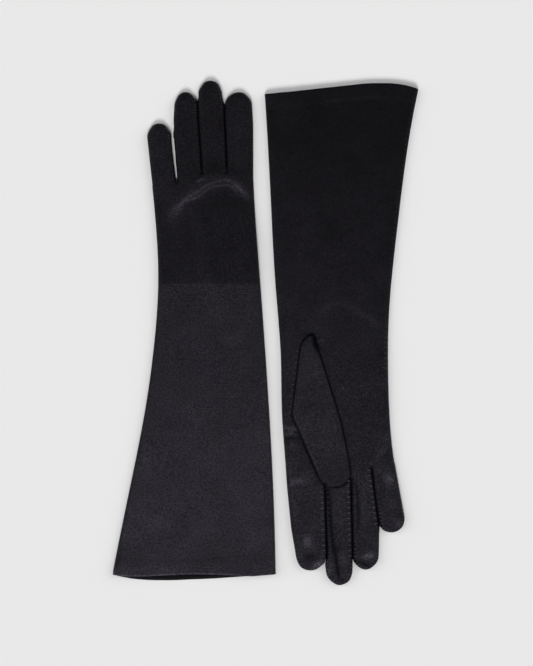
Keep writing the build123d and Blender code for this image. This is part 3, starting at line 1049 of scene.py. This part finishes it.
def fourchette(glove, gap, top, under):
    """The side walls of two fingers and the bend between them, over the trank's edges.

    Gives its points and faces, and the strip's cut width and length in metres."""
    low, high = (np.array(corner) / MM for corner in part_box(f"{glove.name}_{gap}_fourchette"))
    past = np.array([1.5, 7.0])  # on towards the fingertips
    low, high = (low[:2] - past, high[:2] + 0.3) if glove is RIGHT else (low[:2] - 0.3, high[:2] + past)
    low[0], high[0] = low[0] - 1.2, high[0] + 1.2
    loop, out = glove.loop, normals(glove.loop)
    index = np.flatnonzero(((loop > low) & (loop < high)).all(1))
    run = max(np.split(index, np.flatnonzero(np.diff(index) > 1) + 1), key=len)
    line, n = loop[run], out[run]
    apart, count = across(loop)[run], len(run)
    wedge = (glove.name, gap) == WEDGE
    reach = np.clip(0.5 * apart - 0.04, 0.05, OPEN_GAP if wedge else CLOSED_GAP)
    fade = smooth(np.minimum(np.arange(count), np.arange(count)[::-1]) / 3)
    skin, back = [], []
    for depth, upper, swell in FOURCHETTE_SECTION:
        at = line - n * depth * (0.6 if glove is RIGHT else 1.0)
        z = top(at) if upper else under(at)
        skin.append(np.c_[at + n * 0.05, z])
        bulge = (0.03 if wedge else 0.12) + reach * swell * fade
        back.append(np.c_[at + n * (0.05 + bulge)[:, None], z])
    width = np.linalg.norm(np.diff(np.array(skin), axis=0), axis=2).sum(0).mean()
    length = np.linalg.norm(np.diff(line, axis=0), axis=1).sum()
    rows = skin + back[::-1]
    co, faces, total = np.vstack(rows), [], len(rows)
    for r in range(total):
        for i in range(count - 1):
            a, b = r * count + i, ((r + 1) % total) * count + i
            faces.append([a, b, b + 1, a + 1])
    faces.append([r * count for r in reversed(range(total))])
    faces.append([r * count + count - 1 for r in range(total)])
    return co, faces, width * MM, length * MM


def up_the_sleeve(glove, depth):
    """The cuff edge carried up the sleeve, with its ends on the sleeve's two sides."""
    line = glove.loop[1 : glove.mouth]
    first, last = glove.loop[0], glove.loop[glove.mouth]
    side_a, side_b = np.roll(glove.loop[::-1], 1, 0)[:60], glove.loop[glove.mouth : glove.mouth + 60]
    share = (line[:, 0] - first[0]) / (last[0] - first[0])
    along_a = glove.sign * (side_a[:, 1] - first[1])
    along_b = glove.sign * (side_b[:, 1] - last[1])
    xa = np.interp(depth, along_a, side_a[:, 0]) - first[0]
    xb = np.interp(depth, along_b, side_b[:, 0]) - last[0]
    return line + np.c_[xa * (1 - share) + xb * share, np.full(len(line), glove.sign * depth)]


def hem_band(glove, top, under, front):
    """The hem turned in at the cuff, a second layer just inside the sleeve."""
    depth = np.linspace(0.4, HEM, 8)
    co, faces = [], []
    n = glove.mouth - 1
    for upper in (True, False):
        for layer in (0, 1):
            for d in depth:
                xy = up_the_sleeve(glove, d)
                gap = 0.55 + 0.4 * layer
                hi, lo = top(xy), under(xy)
                room = np.maximum(hi - lo, 0.1)
                gap = np.minimum(gap, room * (0.3 + 0.15 * layer))
                z = hi - gap if upper else lo + gap
                if upper:
                    xy = xy + np.c_[np.zeros(n), front(xy)]
                co.append(np.c_[xy, z])
    rows = len(depth)

    def quad(corners, forward):
        faces.append(corners if forward else corners[::-1])

    for half in (0, 1):
        for layer in (0, 1):
            for r in range(rows - 1):
                for i in range(n - 1):
                    a = ((half * 2 + layer) * rows + r) * n + i
                    quad([a, a + 1, a + n + 1, a + n], (half + layer) % 2 == 0)
        first, second = half * 2 * rows * n, (half * 2 + 1) * rows * n
        for r in (0, rows - 1):
            for i in range(n - 1):
                a, b = first + r * n + i, second + r * n + i
                quad([a, b, b + 1, a + 1], (r == 0) == (half == 0))
        for i in (0, n - 1):
            for r in range(rows - 1):
                a, b = first + r * n + i, second + r * n + i
                quad([a, a + n, b + n, b], (i == 0) == (half == 0))
    return np.vstack(co), faces


build(LEFT, top_left, under_left, left_tone_and_painted_light, cuff_front(LEFT, 5.2, -136.0, -12.0))
build(RIGHT, top_right, under_right, right_tone_and_painted_light, cuff_front(RIGHT, 0.7, 1.0, 134.0))


def build_thumb(glove, base, rise, tone):
    co, faces, plan, s = thumb_shell(glove, base, rise)
    cloth = new_object(glove.name + "_thumb_cloth", co, faces, SATIN, tone(plan, s), grain=0.8)
    piece(cloth, None, glove.name + "_thumb")
    bend_at_thumb(cloth)


def thumb_bars(glove, row, height, start, end):
    """Threads across the thumb's edge, from start to end mm outside it."""
    bars = []
    for c, _ in stitch_places(f"{glove.name}_{row}_stitches"):
        k = glove.thumb_edge(np.array([c[:2]]))[1][0]
        a, b = glove.thumb[k], np.roll(glove.thumb, -1, 0)[k]
        out = np.array([(b - a)[1], -(b - a)[0]])
        out /= np.linalg.norm(out)
        foot = a + (b - a) * np.clip(np.dot(c[:2] - a, b - a) / np.dot(b - a, b - a), 0, 1)
        bars.append(tuple((*(foot + out * reach), height(foot + out * reach, reach < 0)) for reach in (start, end)))
    return bars


def right_base(p):
    return top_right(p) + 0.25


def right_rise(p, s):
    foot, off = hinge_line(RIGHT)
    away = (p - foot) @ off
    folds = 0.5 * spot(p, (37, -88), 2.5, 16, -28) + 0.4 * spot(p, (52, -70), 3, 22, -14)
    return 0.15 + (1.2 + 1.4 * smooth(away / 22)) * crown(s, 3.0) + 0.3 * rumple(p, 14, 31.0) * smooth(s / 5) + folds


def right_thumb_tone_and_painted_light(p, s):
    t = 1.20 + 0.10 * smooth((-20 - p[:, 1]) / 60) - 0.25 * smooth((-100 - p[:, 1]) / 30)
    # Painted shade in the tuck at the apex, towards the thumb's top and along its edge, less round its tip; painted
    # highlights and shade in patches.
    t -= 1.1 * spot(p, (43.3, -10.5), 1.3, 8, 17) + 0.45 * smooth((28 + p[:, 1]) / 20)
    t += 0.25 * spot(p, (52, -86), 5, 11) - 0.42 * spot(p, (38, -68), 14, 10)
    t += 0.35 * spot(p, (37, -78), 4, 14, -28) - 0.8 * hill(s, 0.7) * (1 - 0.6 * at_thumb_tip(p))
    return t * (1 + 0.18 * rumple(p, 18, 33.3) + 0.12 * rumple(p, 6, 35.3))


build_thumb(RIGHT, right_base, right_rise, right_thumb_tone_and_painted_light)


def right_thumb_height(p, on_thumb):
    xy = np.array([p])
    if on_thumb:
        s = RIGHT.thumb_edge(xy)[0]
        return float((right_base(xy) + 0.5 + right_rise(xy, s))[0]) + 0.1
    return float(top_right(xy)[0]) + 0.15


# Painted highlight: the thumb's threads are drawn lighter.
for row, start, end, thread_painted_light in (("thumb_seam", 1.3, 3.5, 3.2), ("thumb_side", -3.1, -1.5, 3.4)):
    bend_at_thumb(stitches(RIGHT, row, thumb_bars(RIGHT, row, right_thumb_height, start, end), 0.36, thread_painted_light))


def left_base(p):
    return np.full(len(p), REST)


def left_rise(p, s):
    return (LIFT - 1.0) * crown(s, 5.0) * 0.9


def left_thumb_tone(p, s):
    return 0.9 + 0.1 * rumple(p, 18, 43.3)


build_thumb(LEFT, left_base, left_rise, left_thumb_tone)


def left_thumb_height(p, on_thumb):
    return 0.35


for row in ("thumb_seam", "thumb_side"):
    bend_at_thumb(stitches(LEFT, row, thumb_bars(LEFT, row, left_thumb_height, -1.2, 0.3), 0.25))


# ---------------- floor, light and camera
floor_mesh = bpy.data.meshes.new("floor")
floor_mesh.from_pydata([(-3, -3, 0), (3, -3, 0), (3, 3, 0), (-3, 3, 0)], [], [(0, 1, 2, 3)])
floor = in_scene("floor", floor_mesh)
paper, _, look = new_material("paper")
look["Base Color"].default_value = (0.80, 0.80, 0.80, 1)
look["Roughness"].default_value = 0.9
look["Specular IOR Level"].default_value = 0.1
floor_mesh.materials.append(paper)


def sun(name, azimuth, off_vertical, spread, strength):
    """A soft, far light: its compass side, its angle from straight up, and how wide it looks, in degrees."""
    light = bpy.data.lights.new(name, "SUN")
    light.energy, light.angle = strength, math.radians(spread)
    tilt, turn = math.radians(off_vertical), math.radians(azimuth)
    away = Vector((math.sin(tilt) * math.cos(turn), math.sin(tilt) * math.sin(turn), math.cos(tilt)))
    in_scene(name, light).rotation_euler = away.to_track_quat("Z", "Y").to_euler()


sun("key", -95, 45, 24, 2.2)
sun("fill_left", 170, 55, 50, 1.1)
sun("fill_right", 15, 55, 50, 1.1)
world = bpy.data.worlds.new("studio")
bpy.context.scene.world = world
world.use_nodes = True
sky = world.node_tree.nodes["Background"].inputs
sky["Color"].default_value = (1, 1, 1, 1)
sky["Strength"].default_value = 0.12
bpy.context.scene.view_settings.view_transform = "Standard"

FOCAL, SENSOR = 100, 36  # mm
SEEN = 0.586  # length of floor along the picture's longer side, m
MIDDLE = 0.004  # height at which that length is seen, m
lens = bpy.data.cameras.new("camera")
lens.lens, lens.sensor_width = FOCAL, SENSOR
camera = in_scene("camera", lens)
camera.location = (0.0009, 0.0, SEEN * FOCAL / SENSOR + MIDDLE)
camera.rotation_euler = (0, 0, 0)
bpy.context.scene.camera = camera

bpy.context.view_layer.update()
